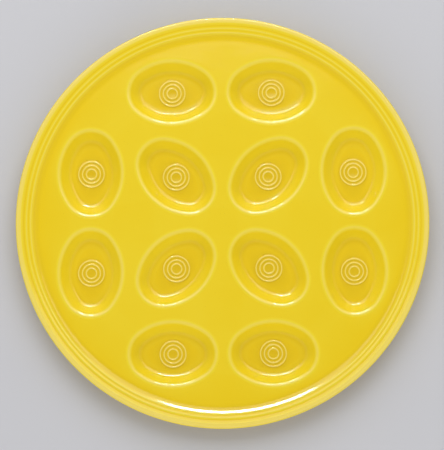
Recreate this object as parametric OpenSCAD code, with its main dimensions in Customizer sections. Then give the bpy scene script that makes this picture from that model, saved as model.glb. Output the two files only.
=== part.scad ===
// Round glazed stoneware platter for twelve devilled egg halves.
// The frame has +Z up, with the origin on the table under the middle of the platter.

/* [Platter] */
// Outside diameter over the glazed lip
platter_d = 311; // [309:1:330]
// Height of the flat field above the table
field_h = 15.5; // [15:0.5:22]
// Thickness of the flat field, with its glaze
field_t = 5; // [4.5:0.5:6]

/* [Rim] */
// Width of the rim, from the edge of the flat field to the outside
rim_w = 17; // [15:0.5:18]
// Height of the lip's top above the field
rim_rise = 3.8; // [3.4:0.2:5]
// Thickness of the lip at its outer edge
lip_t = 6.2; // [6:0.1:7]
// Height of the rim's underside above the table, where the foot joins it
rim_under_h = 9.5; // [8.5:0.5:11]
// Radius of the hollow corner between the field and the rim
rim_fillet = 8; // [5:0.5:8]

/* [Foot] */
// Distance from the platter's outer edge in to the foot's outer edge, on the table
foot_inset = 18; // [17.5:0.5:20]
// Width of the foot on the table
foot_w = 5; // [4:0.5:7]
// How far each side of the foot leans out from the table to the field
foot_draft = 1.5; // [1:0.25:2]
// Radius of the foot's edges
foot_round = 1.2; // [0.8:0.1:1.6]
// Radius of the corners where the foot meets the body
foot_fillet = 3; // [2:0.5:4]
// Height of the bare clay band left by wiping the foot
bare_h = 1.8; // [1.6:0.1:3]

/* [Egg wells] */
// Length of a well along the field, over its shoulders
well_l = 70.8; // [67:0.2:74]
// Width of a well along the field, over its shoulders
well_w = 53.2; // [51.2:0.2:56.8]
// Depth of a well below the field
well_depth = 9; // [7.2:0.2:9.6]
// Radius between the well's floor and its wall
well_fillet = 8; // [4:0.5:9.5]
// Radius of the well's shoulder, between its wall and the field
well_shoulder = 7; // [4:0.5:10]
// Thickness of the wall and floor round a well
well_wall = 4.5; // [4:0.25:5]
// Radius under the field, where the outside of a well meets it
under_fillet = 4; // [2:0.5:6]

/* [Layout] */
// Distance from the platter's centre out to the line of an outer pair of wells
pair_reach = 99.2; // [98:0.2:101]
// Distance from the middle of an outer pair to each of its wells
pair_offset = 37.7; // [37.5:0.1:41]
// Distance from the platter's centre to each of the four inner wells
inner_reach = 49.3; // [48:0.1:51]
// Tilt of an inner well's length from the X axis
inner_tilt = 43; // [40:1:50]

/* [Raised rings in the wells] */
// Number of rings on the floor of each well
ring_count = 3; // [1:1:3]
// Radius of the innermost ring
ring_first_r = 3.9; // [3:0.1:5]
// Distance from one ring to the next
ring_pitch = 2.9; // [2.5:0.1:3.2]
// Radius of a ring's round top
ring_round = 0.9; // [0.8:0.05:1.2]
// Height of a ring above the floor
ring_h = 0.45; // [0.3:0.05:0.6]

/* [Glaze] */
// Thickness of the glaze coat
glaze_t = 0.45; // [0.3:0.05:0.6]

/* [Hidden] */
$fn = 128;

clay_colour = "linen";
glaze_colour = "gold";

// One overrun serves all cuts that pass through a surface
cut_over = 0.2;

platter_r = platter_d / 2;
field_r = platter_r - rim_w;
field_under_h = field_h - field_t;
lip_h = field_h + rim_rise;
foot_out_r = platter_r - foot_inset;
foot_in_r = foot_out_r - foot_w;

// The slope of a well's wall: it drops four while it runs three, so it is five long
run_share = 3 / 5;
drop_share = 4 / 5;

// Corners of the rim's face from the field out to the lip: share of the rim's width,
// share of its rise, and the corner's radius as a share of the first, hollow corner's.
// Behind that corner the rim climbs in three low steps with soft edges.
rim_face_shares = [
    [0.13, 0.00, 1.00],
    [0.33, 0.50, 0.30],
    [0.43, 0.55, 0.16],
    [0.52, 0.68, 0.16],
    [0.63, 0.72, 0.20],
    [0.78, 0.93, 0.25],
    [1.00, 1.00, 0.41]
];

// Radius of the lip's lower edge as a share of the lip's thickness
lip_under_share = 0.42;

// Steps in each rounded corner of a turned section
corner_steps = 5;

// Half section of the platter with the space in its foot filled, as corners
// [x, z, radius, coated]. It runs out along the table, up round the foot and the rim,
// and back over the face. "coated" is 1 where the side that starts there is glazed.
solid_corners = concat(
    [
        [0, 0, 0, 0],
        [foot_out_r, 0, foot_round, 1],
        [foot_out_r + foot_draft, rim_under_h, foot_fillet, 1],
        [platter_r, lip_h - lip_t, lip_t * lip_under_share, 1]
    ],
    [
        for (i = [len(rim_face_shares) - 1 : -1 : 0])
            let (s = rim_face_shares[i])
            [field_r + rim_w * s[0], field_h + rim_rise * s[1], rim_fillet * s[2], 1]
    ],
    [[0, field_h, 0, 0]]
);

// Half section of the space in the foot, in the same form
space_corners = [
    [0, -cut_over, 0, 0],
    [foot_in_r + foot_round, -cut_over, 0, 0],
    [foot_in_r + foot_round, 0, 0, 0],
    [foot_in_r, 0, foot_round, 1],
    [foot_in_r - foot_draft, field_under_h, foot_fillet, 1],
    [0, field_under_h, 0, 0]
];

// Sides and turns of a closed list of corners
function at(list, i) = list[(i + len(list)) % len(list)];
function spot(list, i) = [at(list, i)[0], at(list, i)[1]];
function side(list, i) = spot(list, i + 1) - spot(list, i);
function along(list, i) = side(list, i) / norm(side(list, i));
function outward(list, i) = [along(list, i)[1], -along(list, i)[0]];
function turn(list, i) =
    let (u = along(list, i - 1), v = along(list, i))
    atan2(u[0] * v[1] - u[1] * v[0], u * v);

// The same corners with each coated side moved outward. A round edge gains the
// movement in its radius, and a hollow corner loses it.
function moved(list, out) = [
    for (i = [0 : len(list) - 1])
        let (
            n1 = outward(list, i - 1),
            n2 = outward(list, i),
            d1 = out * at(list, i - 1)[3],
            d2 = out * list[i][3],
            spread = n1[0] * n2[1] - n1[1] * n2[0],
            shift = [d1 * n2[1] - d2 * n1[1], d2 * n1[0] - d1 * n2[0]] / spread,
            r = list[i][2] == 0 ? 0 : list[i][2] + out * sign(turn(list, i))
        )
        [list[i][0] + shift[0], list[i][1] + shift[1], r, list[i][3]]
];

// How far a rounded corner takes up its two sides: never over half of the shorter one
function reach(list, i) = min(
    list[i][2] * tan(abs(turn(list, i)) / 2),
    norm(side(list, i - 1)) / 2,
    norm(side(list, i)) / 2
);

// The points of a corner: the corner itself, or steps along its arc
function corner_points(list, i) =
    let (
        half = turn(list, i) / 2,
        r = reach(list, i) / tan(abs(half)),
        start = spot(list, i) - along(list, i - 1) * reach(list, i),
        first = outward(list, i - 1) * r * sign(half)
    )
    list[i][2] == 0 ? [spot(list, i)] : [
        for (step = [0 : corner_steps])
            let (a = 2 * half * step / corner_steps)
            start - first + [
                first[0] * cos(a) - first[1] * sin(a),
                first[0] * sin(a) + first[1] * cos(a)
            ]
    ];

module turned(list) {
    rotate_extrude()
        polygon([for (i = [0 : len(list) - 1]) each corner_points(list, i)]);
}

// A well's outline is the four-centre oval: its end and side arcs are struck from the
// corners of a triangle whose sides are as 3, 4 and 5, and meet along its longest side
oval_unit = (well_l - well_w) / 4;
end_x = 3 * oval_unit;
side_y = 4 * oval_unit;
end_r = well_l / 2 - end_x;
side_r = end_r + 5 * oval_unit;

// How far a well's rounded corner takes up the wall and the level beside it
function well_reach(r) = r * drop_share / (1 + run_share);

// Half section of a bowl below a level top at z = 0, from "start" out to "edge", where
// its shoulder meets the level
module bowl_section(start, edge, depth, shoulder, fillet) {
    top_x = edge - well_reach(shoulder);
    foot_x = top_x - depth * run_share / drop_share;
    wall = [run_share, drop_share];
    difference() {
        polygon([
            [start, -depth],
            [foot_x, -depth],
            [top_x, 0] - wall * well_reach(shoulder),
            [edge, 0],
            [start, 0]
        ]);
        translate([edge, -shoulder]) circle(shoulder);
        difference() {
            polygon([
                [foot_x - well_reach(fillet), -depth],
                [foot_x, -depth],
                [foot_x, -depth] + wall * well_reach(fillet)
            ]);
            translate([foot_x - well_reach(fillet), fillet - depth]) circle(fillet);
        }
    }
}

// The wedge about the X axis that holds a turned part of a bowl: its sides leave the
// origin along "spread" and along its mirror image, and it reaches out by "size"
module sector(spread, size, depth) {
    translate([0, 0, -depth - cut_over])
        linear_extrude(depth + 2 * cut_over)
            polygon([[0, 0], spread * size, [1, 0] * 2 * size, [spread[0], -spread[1]] * size]);
}

// The twelve wells as [x, y, turn]: a pair along each of four sides, and four inside
well_places = concat(
    [
        for (quarter = [0 : 90 : 270], way = [-1, 1])
            [
                way * pair_offset * cos(quarter) - pair_reach * sin(quarter),
                way * pair_offset * sin(quarter) + pair_reach * cos(quarter),
                quarter
            ]
    ],
    [
        for (right = [-1, 1], back = [-1, 1])
            [
                right * inner_reach * cos(45),
                back * inner_reach * sin(45),
                right * back * inner_tilt
            ]
    ]
);

module at_well(place, level, half) {
    translate([place[0], place[1], level]) rotate(place[2] + half) children();
}

// One end of an oval bowl at a well. bowl holds the bowl's growth all round, its depth,
// and the radii of its shoulder and fillet.
module bowl_end(place, level, bowl, half) {
    at_well(place, level, half)
        translate([end_x, 0])
            intersection() {
                rotate_extrude() bowl_section(0, end_r + bowl[0], bowl[1], bowl[2], bowl[3]);
                sector([run_share, drop_share], 2 * (end_r + bowl[0]), bowl[1]);
            }
}

// One side of the same bowl, which reaches in past its middle
module bowl_side(place, level, bowl, half) {
    at_well(place, level, half + 90)
        translate([-side_y, 0])
            intersection() {
                rotate_extrude()
                    bowl_section(side_y / 2, side_r + bowl[0], bowl[1], bowl[2], bowl[3]);
                sector([drop_share, run_share], 2 * (side_r + bowl[0]), bowl[1]);
            }
}

// The child with a bowl taken out of it at each of the first "count" wells
module less_bowls(count, level, bowl) {
    if (count == 0) children();
    else difference() {
        less_bowls(count - 1, level, bowl) children();
        bowl_end(well_places[count - 1], level, bowl, 0);
        bowl_end(well_places[count - 1], level, bowl, 180);
        bowl_side(well_places[count - 1], level, bowl, 0);
        bowl_side(well_places[count - 1], level, bowl, 180);
    }
}

// How far the outside of a well stands out from its hollow, along the field's underside
under_grow = well_reach(under_fillet) - well_reach(well_shoulder)
    + well_wall / drop_share - field_t * run_share / drop_share;

// The platter from above, with the space in its foot filled and its wells plain. Its
// coated skin is moved in by "depth".
module plain_form(depth) {
    less_bowls(len(well_places), field_h - depth,
        [0, well_depth, well_shoulder - depth, well_fillet + depth])
        turned(moved(solid_corners, -depth));
}

// The rings that stand on the wells' floors, sunk halfway into the clay
module raised_rings(depth) {
    for (place = well_places)
        at_well(place, field_h, 0)
            rotate_extrude()
                for (i = [0 : ring_count - 1])
                    translate([ring_first_r + i * ring_pitch, ring_h - ring_round - well_depth])
                        circle(ring_round - depth);
}

// The space in the foot, with the outsides of the wells standing in it. Its coated
// skin is moved out, into the body, by "depth".
module space_form(depth) {
    less_bowls(len(well_places), field_under_h + depth,
        [under_grow, well_depth + well_wall - field_t,
            under_fillet + depth, well_fillet + well_wall - depth])
        turned(moved(space_corners, depth));
}

// Everything from the table up to the top of the bare band
module bare_band() {
    translate([0, 0, -cut_over - glaze_t])
        cylinder(h = bare_h + cut_over + glaze_t, r = platter_r);
}

// The pressed and fired clay: field, rim, foot, wells and rings, under the glaze
module clay_body() {
    color(clay_colour)
        difference() {
            union() {
                plain_form(glaze_t);
                raised_rings(glaze_t);
            }
            space_form(glaze_t);
        }
}

// The coat on the face, over the lip and down the outside to the foot's bare band
module glaze_face_and_rim() {
    color(glaze_colour)
        difference() {
            union() {
                plain_form(0);
                raised_rings(0);
            }
            plain_form(glaze_t);
            raised_rings(glaze_t);
            bare_band();
        }
}

// The coat on the underside within the foot, down to the foot's bare band
module glaze_inside_foot() {
    color(glaze_colour)
        difference() {
            space_form(glaze_t);
            space_form(0);
            bare_band();
        }
}

clay_body();
glaze_face_and_rim();
glaze_inside_foot();
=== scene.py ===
import math

import bmesh
import bpy
from mathutils import Matrix, Vector


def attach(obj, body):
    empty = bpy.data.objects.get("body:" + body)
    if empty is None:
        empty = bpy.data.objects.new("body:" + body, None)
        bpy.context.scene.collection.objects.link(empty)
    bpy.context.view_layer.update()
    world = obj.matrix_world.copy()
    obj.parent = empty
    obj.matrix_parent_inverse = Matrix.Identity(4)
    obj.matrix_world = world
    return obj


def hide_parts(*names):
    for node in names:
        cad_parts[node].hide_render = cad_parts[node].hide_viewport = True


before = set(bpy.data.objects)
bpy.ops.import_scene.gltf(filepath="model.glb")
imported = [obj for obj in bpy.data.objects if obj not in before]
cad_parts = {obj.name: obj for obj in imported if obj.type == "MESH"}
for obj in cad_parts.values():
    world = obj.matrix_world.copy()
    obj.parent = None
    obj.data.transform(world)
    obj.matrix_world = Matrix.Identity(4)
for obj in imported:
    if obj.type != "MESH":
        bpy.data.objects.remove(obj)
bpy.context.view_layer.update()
scene = bpy.context.scene

# Clay body
# The platter is one pressing of pale stoneware clay with a turned rim and foot. Under the
# coats of glaze it only shows as the bare band on the foot, wiped clean before the firing.
# Sizes are written in millimetres here and below, and times MM they are metres.
MM = 0.001
CLAY_DARK = (0.56, 0.49, 0.38, 1)
CLAY_PALE = (0.72, 0.66, 0.54, 1)
CLAY_SPECK = (0.30, 0.22, 0.14, 1)
CLAY_GRAIN_H = 0.1
SPECK_SHARPNESS = 9.0

# Specks of iron, which the clay and the glaze both have: a mask of round dots, smaller and
# fewer on the surface for a smaller Size.
specks = bpy.data.node_groups.new("Specks", "ShaderNodeTree")
specks.interface.new_socket("Vector", in_out="INPUT", socket_type="NodeSocketVector")
specks.interface.new_socket("Scale", in_out="INPUT", socket_type="NodeSocketFloat")
specks.interface.new_socket("Size", in_out="INPUT", socket_type="NodeSocketFloat")
specks.interface.new_socket("Mask", in_out="OUTPUT", socket_type="NodeSocketFloat")
nodes, links = specks.nodes, specks.links
speck_in = nodes.new("NodeGroupInput")
speck_out = nodes.new("NodeGroupOutput")
cells = nodes.new("ShaderNodeTexVoronoi")
cells.inputs["Randomness"].default_value = 1.0
edge = nodes.new("ShaderNodeMath")
edge.operation = "SUBTRACT"
edge.use_clamp = True
sharpen = nodes.new("ShaderNodeMath")
sharpen.operation = "MULTIPLY"
sharpen.inputs[1].default_value = SPECK_SHARPNESS
sharpen.use_clamp = True
links.new(speck_in.outputs["Vector"], cells.inputs["Vector"])
links.new(speck_in.outputs["Scale"], cells.inputs["Scale"])
links.new(speck_in.outputs["Size"], edge.inputs[0])
links.new(cells.outputs["Distance"], edge.inputs[1])
links.new(edge.outputs[0], sharpen.inputs[0])
links.new(sharpen.outputs[0], speck_out.inputs["Mask"])


def set_stops(ramp, stops):
    """Gives a colour ramp these stops of position and colour, lowest first."""
    elements = ramp.color_ramp.elements
    elements[0].position, elements[0].color = stops[0]
    elements[1].position, elements[1].color = stops[-1]
    for position, colour in stops[1:-1]:
        elements.new(position).color = colour


clay = bpy.data.materials.new("bare_clay")
clay.use_nodes = True
nodes, links = clay.node_tree.nodes, clay.node_tree.links
clay_shader = nodes["Principled BSDF"]
clay_shader.inputs["Roughness"].default_value = 0.85
place = nodes.new("ShaderNodeTexCoord")
clay_tone = nodes.new("ShaderNodeTexNoise")
clay_tone.inputs["Scale"].default_value = 60.0
clay_tone.inputs["Detail"].default_value = 6.0
clay_ramp = nodes.new("ShaderNodeValToRGB")
set_stops(clay_ramp, [(0.32, CLAY_DARK), (0.68, CLAY_PALE)])
clay_specks = nodes.new("ShaderNodeGroup")
clay_specks.node_tree = specks
clay_specks.inputs["Scale"].default_value = 420.0
clay_specks.inputs["Size"].default_value = 0.2
clay_mix = nodes.new("ShaderNodeMix")
clay_mix.data_type = "RGBA"
clay_mix.inputs["B"].default_value = CLAY_SPECK
clay_grain = nodes.new("ShaderNodeTexNoise")
clay_grain.inputs["Scale"].default_value = 1400.0
clay_bump = nodes.new("ShaderNodeBump")
clay_bump.inputs["Strength"].default_value = 0.5
clay_bump.inputs["Distance"].default_value = CLAY_GRAIN_H * MM
for node in (clay_tone, clay_specks, clay_grain):
    links.new(place.outputs["Object"], node.inputs["Vector"])
links.new(clay_tone.outputs["Fac"], clay_ramp.inputs["Fac"])
links.new(clay_ramp.outputs["Color"], clay_mix.inputs["A"])
links.new(clay_specks.outputs["Mask"], clay_mix.inputs["Factor"])
links.new(clay_mix.outputs["Result"], clay_shader.inputs["Base Color"])
links.new(clay_grain.outputs["Fac"], clay_bump.inputs["Height"])
links.new(clay_bump.outputs["Normal"], clay_shader.inputs["Normal"])

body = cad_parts["clay_body"]
body.data.materials.clear()
body.data.materials.append(clay)

# Glaze over the face and the rim
# An opaque yellow glaze is sprayed over the face, the lip and the outside down to the
# foot's bare band. It melts and draws back: thin and pale on ridges, deep in hollows.
# The sizes are those of the glazed platter, as in the solids.
FIELD_H = 15.5
PLATTER_R = 155.5
FIELD_R = 138.5
FIELD_EDGE_R = 137.0
RIM_W = PLATTER_R - FIELD_R
RIM_RISE = 3.8
RIM_FILLET = 8.0
LIP_T = 6.2
FOOT_OUT_R = 137.5
FOOT_DRAFT = 1.5
FOOT_FILLET = 3.0
RIM_UNDER_H = 9.5
BARE_H = 1.8
WELL_L, WELL_W, WELL_DEPTH = 70.8, 53.2, 9.0
WELL_SHOULDER, WELL_FILLET = 7.0, 8.0
PAIR_REACH, PAIR_OFFSET = 99.2, 37.7
INNER_REACH, INNER_TILT = 49.3, 43.0
RING_COUNT = 3
RING_FIRST_R, RING_PITCH, RING_H = 3.9, 2.9, 0.45
RING_HALF_W, RING_TOP_HALF_W = 0.8, 0.42
RING_FOOT_ROUND, RING_TOP_ROUND = 0.45, 0.5
RINGS_R = RING_FIRST_R + (RING_COUNT - 1) * RING_PITCH + RING_HALF_W
GLAZE_T = 0.45
GLAZE_WAVE_H = 0.6

# The corners of the rim's steps, each as its shares of the rim's width, rise and fillet.
RIM_FACE = [
    (0.13, 0.00, 1.00), (0.33, 0.50, 0.30), (0.43, 0.55, 0.16), (0.52, 0.68, 0.16),
    (0.63, 0.72, 0.20), (0.78, 0.93, 0.25), (1.00, 1.00, 0.41),
]
LIP_UNDER_ROUND = 0.42

# A narrow flat strip beside a round keeps its shading off the flat. Points nearer to each
# other than SAME_SPOT are merged.
STRIP = 0.3
SAME_SPOT = 0.01

# The thin and pale colours also stand for painted light on the lip and in the wells, and the
# deep colour for painted shade on the wells' floors.
GLAZE_THIN_AND_LIT = (0.96, 0.76, 0.17, 1)
GLAZE_PALE_AND_LIT = (0.94, 0.73, 0.030, 1)
GLAZE_YELLOW = (0.91, 0.64, 0.004, 1)
GLAZE_DEEP_AND_SHADED = (0.64, 0.40, 0.006, 1)
GLAZE_SPECK = (0.50, 0.30, 0.02, 1)


def rounded_section(bm, corners, segments):
    """A wire through (x, z, radius) corners in mm, the widest rounded off in segments."""
    spots = [Vector((x, 0, z)) for x, z, radius in corners]
    verts = [bm.verts.new(spot * MM) for spot in spots]
    for first, second in zip(verts, verts[1:]):
        bm.edges.new((first, second))
    widest = max(radius for x, z, radius in corners)
    for i in range(1, len(corners) - 1):
        into, out = spots[i] - spots[i - 1], spots[i + 1] - spots[i]
        radius = corners[i][2]
        if radius:
            reach = min(radius * math.tan(into.angle(out) / 2), into.length / 2, out.length / 2)
            bmesh.ops.bevel(
                bm, geom=[verts[i]], offset=reach * MM, offset_type="OFFSET",
                affect="VERTICES", segments=math.ceil(segments * math.sqrt(radius / widest)),
                profile=0.5, material=-1)


def turned(corners, segments, steps, centre=(0, 0), first=0.0, sweep=360.0):
    """The section turned about an upright axis at centre, from first through sweep."""
    bm = bmesh.new()
    rounded_section(bm, corners, segments)
    bmesh.ops.rotate(bm, verts=bm.verts, matrix=Matrix.Rotation(math.radians(first), 3, "Z"))
    bmesh.ops.spin(
        bm, geom=bm.verts[:] + bm.edges[:], axis=(0, 0, 1), cent=(0, 0, 0),
        angle=math.radians(sweep), steps=steps, use_merge=sweep == 360.0)
    bmesh.ops.translate(bm, verts=bm.verts, vec=(centre[0] * MM, centre[1] * MM, 0))
    mesh = bpy.data.meshes.new("turned")
    bm.to_mesh(mesh)
    bm.free()
    return mesh


def add_mesh(bm, mesh, matrix=Matrix()):
    """Puts a mesh into bm and does away with it."""
    mesh.transform(matrix)
    bm.from_mesh(mesh)
    bpy.data.meshes.remove(mesh)


# A well is an oval of four arcs, whose centres lie on 3-4-5 triangles, so that the arcs run
# into each other. Its wall drops four while it runs three, so a round at either end of the
# wall reaches half its radius.
unit = (WELL_L - WELL_W) / 4
end_x, side_y = 3 * unit, 4 * unit
end_r = WELL_L / 2 - end_x
side_r = end_r + 5 * unit
end_half_angle = math.degrees(math.atan2(4, 3))
side_half_angle = 90 - end_half_angle
shoulder_reach, fillet_reach = WELL_SHOULDER / 2, WELL_FILLET / 2
wall_run = WELL_DEPTH * 3 / 4


def bowl_corners(radius):
    """The bowl's section where the well's outline has this radius."""
    top = radius - shoulder_reach
    return [
        (radius + STRIP, 0, 0),
        (top, 0, WELL_SHOULDER),
        (top - wall_run, -WELL_DEPTH, WELL_FILLET),
        (top - wall_run - fillet_reach - STRIP, -WELL_DEPTH, 0),
    ]


end_arc = {
    "segments": 6, "steps": 20, "centre": (end_x, 0),
    "first": -end_half_angle, "sweep": 2 * end_half_angle,
}
side_arc = {
    "segments": 6, "steps": 16, "centre": (0, -side_y),
    "first": 90 - side_half_angle, "sweep": 2 * side_half_angle,
}
ring_corners = [(0, -WELL_DEPTH, 0)]
for ring in range(RING_COUNT):
    ring_r = RING_FIRST_R + ring * RING_PITCH
    ring_corners += [
        (ring_r - RING_HALF_W, -WELL_DEPTH, RING_FOOT_ROUND),
        (ring_r - RING_TOP_HALF_W, RING_H - WELL_DEPTH, RING_TOP_ROUND),
        (ring_r + RING_TOP_HALF_W, RING_H - WELL_DEPTH, RING_TOP_ROUND),
        (ring_r + RING_HALF_W, -WELL_DEPTH, RING_FOOT_ROUND),
    ]
ring_corners.append((RINGS_R + 2 * STRIP, -WELL_DEPTH, 0))

well = bmesh.new()
for half in (0, 180):
    swing = Matrix.Rotation(math.radians(half), 4, "Z")
    add_mesh(well, turned(bowl_corners(end_r), **end_arc), swing)
    add_mesh(well, turned(bowl_corners(side_r), **side_arc), swing)
add_mesh(well, turned(ring_corners, segments=3, steps=36))
bmesh.ops.remove_doubles(well, verts=well.verts, dist=SAME_SPOT * MM)
floor_edges = [
    e for e in well.edges
    if e.is_boundary and all(v.co.z < -0.9 * WELL_DEPTH * MM for v in e.verts)]
bmesh.ops.triangle_fill(well, edges=floor_edges, use_beauty=True, normal=(0, 0, 1))
well_mesh = bpy.data.meshes.new("well")
well.to_mesh(well_mesh)
well.free()

# The wells' places: a pair on each side of the platter, and four tilted ones inside.
well_places = []
for quarter in (0, 90, 180, 270):
    c, s = math.cos(math.radians(quarter)), math.sin(math.radians(quarter))
    for along in (-PAIR_OFFSET, PAIR_OFFSET):
        well_places.append((along * c - PAIR_REACH * s, along * s + PAIR_REACH * c, quarter))
inner_out = INNER_REACH * math.sqrt(0.5)
for across in (-1, 1):
    for back in (-1, 1):
        well_places.append((across * inner_out, back * inner_out, across * back * INNER_TILT))

rim_corners = [(FIELD_EDGE_R, FIELD_H, 0)]
for width_share, rise_share, radius_share in RIM_FACE:
    rim_corners.append((
        FIELD_R + RIM_W * width_share, FIELD_H + RIM_RISE * rise_share,
        RIM_FILLET * radius_share))
foot_slope = FOOT_DRAFT / RIM_UNDER_H
rim_corners += [
    (PLATTER_R, FIELD_H + RIM_RISE - LIP_T, LIP_T * LIP_UNDER_ROUND),
    (FOOT_OUT_R + FOOT_DRAFT, RIM_UNDER_H, FOOT_FILLET),
    (FOOT_OUT_R + foot_slope * (BARE_H + STRIP), BARE_H + STRIP, 0),
    (FOOT_OUT_R + foot_slope * BARE_H, BARE_H, 0),
]

coat = bmesh.new()
add_mesh(coat, turned(rim_corners, segments=10, steps=216))
for x, y, turn in well_places:
    at = Matrix.Translation((x * MM, y * MM, FIELD_H * MM))
    add_mesh(coat, well_mesh.copy(), at @ Matrix.Rotation(math.radians(turn), 4, "Z"))
bpy.data.meshes.remove(well_mesh)
bmesh.ops.remove_doubles(coat, verts=coat.verts, dist=SAME_SPOT * MM)
field_edges = [
    e for e in coat.edges
    if e.is_boundary and all(abs(v.co.z - FIELD_H * MM) < SAME_SPOT * MM for v in e.verts)]
bmesh.ops.triangle_fill(coat, edges=field_edges, use_beauty=True, normal=(0, 0, 1))
bmesh.ops.recalc_face_normals(coat, faces=coat.faces)
if sum(f.normal.z * f.calc_area() for f in coat.faces) < 0:
    bmesh.ops.reverse_faces(coat, faces=coat.faces)
for face in coat.faces:
    face.smooth = True
coat.normal_update()

# How deep the glaze lies at each point, with painted light and shade added: from -1 where
# it is palest to 1 where it is deepest. It draws off the crest of every ridge, most of all
# off a sharp one, and gathers in grooves and hollows. Over the lip it is thinner, with a
# painted highlight as well. Painted light makes the wells' walls, and their floors a little,
# paler, lifting their shade, and painted shade deepens the middles of their floors.
# Bends are per metre, below 0 on a ridge and above 0 in a hollow.
SOFT_BEND, GROOVE_BEND, SHARP_BEND = 50, 400, 700
CREST_DRAW, CREST_FADE, SHARP_DRAW = 0.7, 3, 0.5
GROOVE_POOL, HOLLOW_POOL = 0.15, 0.12
# Over the lip the glaze is thinner, and a painted highlight makes it paler still.
LIP_THIN_AND_HIGHLIGHT, LIP_HIGHLIGHT_IN = 0.75, 0.6
# Painted light makes the wells' walls, and their floors a little, paler, lifting their shade.
WALL_PAINTED_LIGHT, WALL_LIGHT_FADE = 0.5, 2
FLOOR_LIGHT_SHARE, FLOOR_LIGHT_RISE = 0.2, 4
# Painted shade deepens the middles of the wells' floors.
FLOOR_PAINTED_SHADE = 0.25
EVENED_SHARE = 0.5


def bend_at(vert):
    """How much the surface bends at vert, the mean over its edges."""
    bend = 0.0
    for e in vert.link_edges:
        across = e.other_vert(vert).co - vert.co
        bend -= (e.other_vert(vert).normal - vert.normal).dot(across) / across.length_squared
    return bend / len(vert.link_edges)


depth_and_painted_light = coat.verts.layers.float.new("depth_and_painted_light")
for vert in coat.verts:
    bend = bend_at(vert)
    if bend < 0:
        crest = max(0.0, 1 - CREST_FADE * (1 - vert.normal.z))
        drawn = CREST_DRAW * crest * math.tanh(bend / SOFT_BEND)
        vert[depth_and_painted_light] = drawn + SHARP_DRAW * math.tanh((bend / SHARP_BEND) ** 3)
    else:
        gathered = GROOVE_POOL * math.tanh((bend / GROOVE_BEND) ** 2)
        vert[depth_and_painted_light] = gathered + HOLLOW_POOL * math.tanh(bend / SOFT_BEND)
    # Over the lip: thinner glaze and a painted highlight.
    over_lip = (vert.co.xy.length / MM - PLATTER_R) / LIP_T + LIP_HIGHLIGHT_IN
    vert[depth_and_painted_light] -= LIP_THIN_AND_HIGHLIGHT * max(0.0, over_lip)
    # Painted light: the wells' walls, and their floors a little, are made paler, lifting their
    # shade.
    if vert.co.xy.length < FIELD_R * MM:
        down = (FIELD_H - vert.co.z / MM) / WELL_DEPTH
        near_floor = FLOOR_LIGHT_SHARE + FLOOR_LIGHT_RISE * (1 - down)
        vert[depth_and_painted_light] -= WALL_PAINTED_LIGHT * min(1.0, WALL_LIGHT_FADE * down, near_floor)
for evening in range(2):
    evened = {
        vert: (1 - EVENED_SHARE) * vert[depth_and_painted_light] + EVENED_SHARE * sum(
            e.other_vert(vert)[depth_and_painted_light] for e in vert.link_edges) / len(vert.link_edges)
        for vert in coat.verts}
    for vert, value in evened.items():
        vert[depth_and_painted_light] = value
# Painted shade: the middle of each well's floor, round its rings, is made deeper.
for x, y, turn in well_places:
    middle = Vector((x * MM, y * MM, (FIELD_H - WELL_DEPTH) * MM))
    for vert in coat.verts:
        if (vert.co - middle).length < (RINGS_R + 3 * STRIP) * MM:
            vert[depth_and_painted_light] += FLOOR_PAINTED_SHADE

face_mesh = bpy.data.meshes.new("face_glaze")
coat.to_mesh(face_mesh)
coat.free()
face_glaze = bpy.data.objects.new("face_glaze", face_mesh)
scene.collection.objects.link(face_glaze)
wall = face_glaze.modifiers.new("glaze_thickness", "SOLIDIFY")
wall.thickness = GLAZE_T * MM
wall.offset = -1.0
wall.use_even_offset = True

# The glaze's colour follows its depth and the painted light and shade above, and drifts a
# little from place to place. Its surface has slow waves, and its gloss is a little uneven.
glaze = bpy.data.materials.new("yellow_glaze")
glaze.use_nodes = True
nodes, links = glaze.node_tree.nodes, glaze.node_tree.links
glaze_shader = nodes["Principled BSDF"]
glaze_shader.inputs["IOR"].default_value = 1.5
place = nodes.new("ShaderNodeTexCoord")
depth_and_light_attribute = nodes.new("ShaderNodeAttribute")
depth_and_light_attribute.attribute_name = "depth_and_painted_light"
drift = nodes.new("ShaderNodeTexNoise")
drift.inputs["Scale"].default_value = 16.0
drift.inputs["Detail"].default_value = 3.0
drifting = nodes.new("ShaderNodeMapRange")
drifting.inputs["From Min"].default_value = 0.3
drifting.inputs["From Max"].default_value = 0.7
drifting.inputs["To Min"].default_value = -0.05
drifting.inputs["To Max"].default_value = 0.05
depth_light_and_drift = nodes.new("ShaderNodeMath")
depth_light_and_drift.operation = "ADD"
depth_and_light_share = nodes.new("ShaderNodeMapRange")
depth_and_light_share.inputs["From Min"].default_value = -1.0
depth_and_light_share.inputs["From Max"].default_value = 1.0
tone = nodes.new("ShaderNodeValToRGB")
set_stops(tone, [(0.0, GLAZE_THIN_AND_LIT), (0.3, GLAZE_PALE_AND_LIT), (0.5, GLAZE_YELLOW), (1.0, GLAZE_DEEP_AND_SHADED)])
glaze_specks = nodes.new("ShaderNodeGroup")
glaze_specks.node_tree = specks
glaze_specks.inputs["Scale"].default_value = 260.0
glaze_specks.inputs["Size"].default_value = 0.07
speckled = nodes.new("ShaderNodeMix")
speckled.data_type = "RGBA"
speckled.inputs["B"].default_value = GLAZE_SPECK
fine = nodes.new("ShaderNodeTexNoise")
fine.inputs["Scale"].default_value = 900.0
gloss = nodes.new("ShaderNodeMapRange")
gloss.inputs["To Min"].default_value = 0.08
gloss.inputs["To Max"].default_value = 0.16
waves = nodes.new("ShaderNodeTexNoise")
waves.inputs["Scale"].default_value = 34.0
waves.inputs["Detail"].default_value = 2.0
wave_bump = nodes.new("ShaderNodeBump")
wave_bump.inputs["Strength"].default_value = 0.35
wave_bump.inputs["Distance"].default_value = GLAZE_WAVE_H * MM
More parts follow.
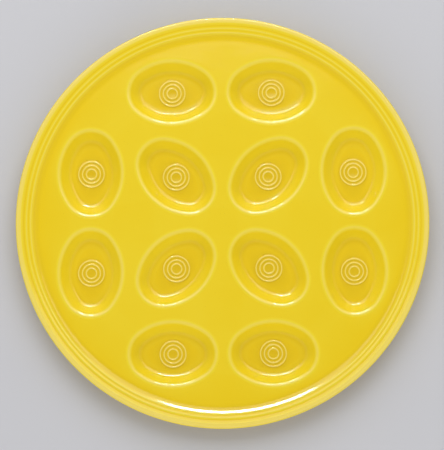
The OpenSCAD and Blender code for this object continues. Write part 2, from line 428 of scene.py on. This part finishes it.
for node in (drift, glaze_specks, fine, waves):
    links.new(place.outputs["Object"], node.inputs["Vector"])
links.new(drift.outputs["Fac"], drifting.inputs["Value"])
links.new(depth_and_light_attribute.outputs["Fac"], depth_light_and_drift.inputs[0])
links.new(drifting.outputs["Result"], depth_light_and_drift.inputs[1])
links.new(depth_light_and_drift.outputs[0], depth_and_light_share.inputs["Value"])
links.new(depth_and_light_share.outputs["Result"], tone.inputs["Fac"])
links.new(tone.outputs["Color"], speckled.inputs["A"])
links.new(glaze_specks.outputs["Mask"], speckled.inputs["Factor"])
links.new(speckled.outputs["Result"], glaze_shader.inputs["Base Color"])
links.new(fine.outputs["Fac"], gloss.inputs["Value"])
links.new(gloss.outputs["Result"], glaze_shader.inputs["Roughness"])
links.new(waves.outputs["Fac"], wave_bump.inputs["Height"])
links.new(wave_bump.outputs["Normal"], glaze_shader.inputs["Normal"])
face_mesh.materials.append(glaze)
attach(face_glaze, "root")
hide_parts("glaze_face_and_rim")

# Glaze inside the foot
# The same glaze coats the underside within the foot, over the outsides of the wells, and
# stops at the foot's bare band as the outer coat does.
inner_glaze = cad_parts["glaze_inside_foot"]
inner_glaze.data.materials.clear()
inner_glaze.data.materials.append(glaze)

# Floor
# A plain sheet of pale matt paper, a little uneven in tone, which the platter's foot
# stands on and which takes its shadow.
FLOOR_HALF = 4.0
PAPER_DARK = (0.60, 0.60, 0.63, 1)
PAPER_PALE = (0.66, 0.66, 0.69, 1)
floor_bm = bmesh.new()
bmesh.ops.create_grid(floor_bm, x_segments=1, y_segments=1, size=FLOOR_HALF)
floor_mesh = bpy.data.meshes.new("floor")
floor_bm.to_mesh(floor_mesh)
floor_bm.free()
floor = bpy.data.objects.new("floor", floor_mesh)
scene.collection.objects.link(floor)
matt = bpy.data.materials.new("floor_paper")
matt.use_nodes = True
nodes, links = matt.node_tree.nodes, matt.node_tree.links
matt_shader = nodes["Principled BSDF"]
matt_shader.inputs["Roughness"].default_value = 0.9
matt_shader.inputs["Specular IOR Level"].default_value = 0.2
place = nodes.new("ShaderNodeTexCoord")
paper = nodes.new("ShaderNodeTexNoise")
paper.inputs["Scale"].default_value = 3.0
paper_ramp = nodes.new("ShaderNodeValToRGB")
set_stops(paper_ramp, [(0.0, PAPER_DARK), (1.0, PAPER_PALE)])
links.new(place.outputs["Object"], paper.inputs["Vector"])
links.new(paper.outputs["Fac"], paper_ramp.inputs["Fac"])
links.new(paper_ramp.outputs["Color"], matt_shader.inputs["Base Color"])
floor_mesh.materials.append(matt)

# Light
# A grey sky that is brightest half-way up, and three soft boxes: a broad one above and
# behind, a low one at the back, and one in front that stays out of the gloss. A long narrow
# box at the back is in the gloss alone, and draws the thin lines of light in the wells.
SKY_GREYS = [(0.0, 0.34), (0.62, 0.56), (0.80, 0.56), (0.93, 0.40), (1.0, 0.32)]
sky = bpy.data.worlds.new("sky")
scene.world = sky
sky.use_nodes = True
nodes, links = sky.node_tree.nodes, sky.node_tree.links
toward = nodes.new("ShaderNodeTexCoord")
upness = nodes.new("ShaderNodeSeparateXYZ")
sky_ramp = nodes.new("ShaderNodeValToRGB")
set_stops(sky_ramp, [(height, (grey, grey, grey, 1)) for height, grey in SKY_GREYS])
links.new(toward.outputs["Generated"], upness.inputs["Vector"])
links.new(upness.outputs["Z"], sky_ramp.inputs["Fac"])
links.new(sky_ramp.outputs["Color"], nodes["Background"].inputs["Color"])
nodes["Background"].inputs["Strength"].default_value = 1.0

LAMPS_AIM = Vector((0, 0, 0.01))


def soft_box(name, at, width, depth, watts, in_matt=True, in_gloss=True):
    """A box lamp turned to the platter, which may light only the matt or only the gloss."""
    light = bpy.data.lights.new(name, "AREA")
    light.shape = "RECTANGLE"
    light.size, light.size_y = width, depth
    light.energy = watts
    holder = bpy.data.objects.new(name, light)
    holder.location = at
    holder.rotation_euler = (LAMPS_AIM - Vector(at)).to_track_quat("-Z", "Y").to_euler()
    holder.visible_diffuse = in_matt
    holder.visible_glossy = in_gloss
    scene.collection.objects.link(holder)


soft_box("long_box", (-0.10, 1.215, 0.882), width=0.9, depth=0.06, watts=17.0, in_matt=False)
soft_box("top_box", (0.0, 0.905, 1.197), width=1.7, depth=1.2, watts=10.9)
soft_box("back_box", (0.0, 1.41, 0.51), width=2.0, depth=0.6, watts=3.6)
soft_box("front_bounce", (0.0, -1.6, 0.55), width=3.0, depth=0.8, watts=12.5, in_gloss=False)

# Camera
# It looks down on the face, a little from the front and the right and turned a little, as
# the photograph does.
CAMERA_BACK = Vector((0.0166, -0.1132, 0.9934)).normalized()
CAMERA_FAR = 1.72
CAMERA_TURN = math.radians(0.44)
CAMERA_AIM = Vector((-0.0002, -0.0026, FIELD_H * MM))
camera_data = bpy.data.cameras.new("camera")
camera_data.sensor_width = 36.0
camera_data.lens = 182.9
camera = bpy.data.objects.new("camera", camera_data)
scene.collection.objects.link(camera)
level = (Vector((1, 0, 0)) - CAMERA_BACK * CAMERA_BACK.x).normalized()
upward = CAMERA_BACK.cross(level)
right = level * math.cos(CAMERA_TURN) - upward * math.sin(CAMERA_TURN)
above = level * math.sin(CAMERA_TURN) + upward * math.cos(CAMERA_TURN)
camera.rotation_mode = "QUATERNION"
camera.rotation_quaternion = Matrix((right, above, CAMERA_BACK)).transposed().to_quaternion()
camera.location = CAMERA_AIM + CAMERA_BACK * CAMERA_FAR
scene.camera = camera
scene.view_settings.view_transform = "Standard"
